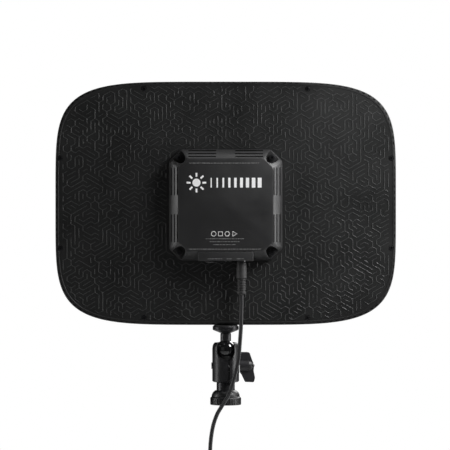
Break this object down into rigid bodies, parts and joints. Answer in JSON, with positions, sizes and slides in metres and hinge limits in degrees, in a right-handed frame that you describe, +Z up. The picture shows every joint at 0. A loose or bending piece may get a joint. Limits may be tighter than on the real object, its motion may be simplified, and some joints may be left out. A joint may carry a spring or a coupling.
{
  "type": "led panel light",
  "caption": "Edge-lit LED panel light with a rear control box, on a tilting ball head over a twist-lock pole stub, with its coiled supply lead and adapter.",
  "frame": {"origin": "centre of the pole stub's flat lower end, where the rest of the pole carries the light", "axes": "+Z up along the pole, +Y the way the panel shines, -Y the control box side, +X towards the clamp knob"},
  "size_m": [0.3498, 0.0419, 0.585],
  "materials": {
    "panel_shell": "fine matt powder coat, black, with a printed line relief",
    "case_plastic": "fine matt moulded texture, black",
    "gloss_black": "glossy moulded black",
    "ball_gloss": "polished black ball",
    "head_black": "satin black anodised",
    "grip_plastic": "satin moulded black",
    "pole_black": "satin black tube",
    "screw_black": "blackened screws",
    "steel": "plain turned steel",
    "brass": "plain turned brass",
    "bare_aluminium": "plain mill finish",
    "opal": "opal white diffusing plastic",
    "acrylic": "clear acrylic sheet",
    "white_film": "white film and white printed board",
    "green_board": "lacquered circuit board",
    "cord_black": "soft black cable sheath"
  },
  "bodies": {
    "root": {"end_plug": "grip_plastic", "outer_tube": "pole_black", "collet_sleeve": "grip_plastic", "inner_tube": "pole_black", "top_plug": "steel", "housing": "head_black", "brake_cup": "grip_plastic", "pivot_cap": "gloss_black", "cord_bend": "cord_black", "cord_lower": "cord_black", "cord_coil": "cord_black", "coil_tie": "cord_black", "cord_tail": "cord_black", "adapter_boot": "cord_black", "power_adapter": "case_plastic", "adapter_pins": "brass"},
    "collar": {"lock_collar": "grip_plastic"},
    "knob": {"clamp_knob": "grip_plastic", "clamp_screw": "steel"},
    "ball": {"ball": "ball_gloss"},
    "stud": {"ball_stud": "head_black"},
    "disc": {"lock_disc": "head_black", "disc_pad": "cord_black"},
    "panel": {"rear_cover": "panel_shell", "front_frame": "case_plastic", "diffuser": "opal", "light_guide": "acrylic", "reflector_sheet": "white_film", "heat_tray": "bare_aluminium", "led_strip_left": "white_film", "led_strip_right": "white_film", "led_strip_top": "white_film", "thread_insert": "brass", "cover_screw_1": "screw_black", "cover_screw_2": "screw_black", "cover_screw_3": "screw_black", "cover_screw_4": "screw_black", "cover_screw_5": "screw_black", "cover_screw_6": "screw_black", "cover_screw_7": "screw_black", "cover_screw_8": "screw_black", "box_cover": "case_plastic", "box_screw_1": "screw_black", "box_screw_2": "screw_black", "box_screw_3": "screw_black", "box_screw_4": "screw_black", "connector_panel": "case_plastic", "switch_bezel": "gloss_black", "dc_jack": "gloss_black", "reset_switch": "case_plastic", "driver_board": "green_board", "inductor": "green_board", "capacitor": "bare_aluminium", "wireless_module": "steel", "led_connector": "opal", "plug_boot": "cord_black", "plug_barrel": "steel", "cord_upper": "cord_black"},
    "rocker": {"power_rocker": "gloss_black"},
    "reset": {"reset_button": "case_plastic"}
  },
  "joints": [
    {"name": "head_lean", "type": "hinge", "parent": "root", "child": "ball", "pos_m": [0, 0, 0.0565], "axis": [0, 1, 0], "range_deg": [-20, 20]},
    {"name": "head_tilt", "type": "hinge", "parent": "ball", "child": "stud", "pos_m": [0, 0, 0.0565], "axis": [1, 0, 0], "range_deg": [-20, 90], "deforming": ["cord_bend"]},
    {"name": "panel_spin", "type": "hinge", "parent": "stud", "child": "panel", "pos_m": [0, 0, 0.0565], "axis": [0, 0, 1], "range_deg": [-180, 180]},
    {"name": "disc_turn", "type": "hinge", "parent": "stud", "child": "disc", "pos_m": [0, 0, 0.0785], "axis": [0, 0, 1], "range_deg": [-180, 0]},
    {"name": "knob_turn", "type": "hinge", "parent": "root", "child": "knob", "pos_m": [0, 0, 0.04], "axis": [1, 0, 0], "range_deg": [0, 270]},
    {"name": "collar_twist", "type": "hinge", "parent": "root", "child": "collar", "pos_m": [0, 0, 0.007], "axis": [0, 0, 1], "range_deg": [0, 90]},
    {"name": "rocker_switch", "type": "hinge", "parent": "panel", "child": "rocker", "pos_m": [-0.0102, -0.015, 0.1492], "axis": [0, 1, 0], "range_deg": [0, 14]},
    {"name": "reset_press", "type": "slide", "parent": "panel", "child": "reset", "axis": [0, 0, 1], "range_m": [0, 0.0006], "stiffness_N_per_m": 400}
  ]
}
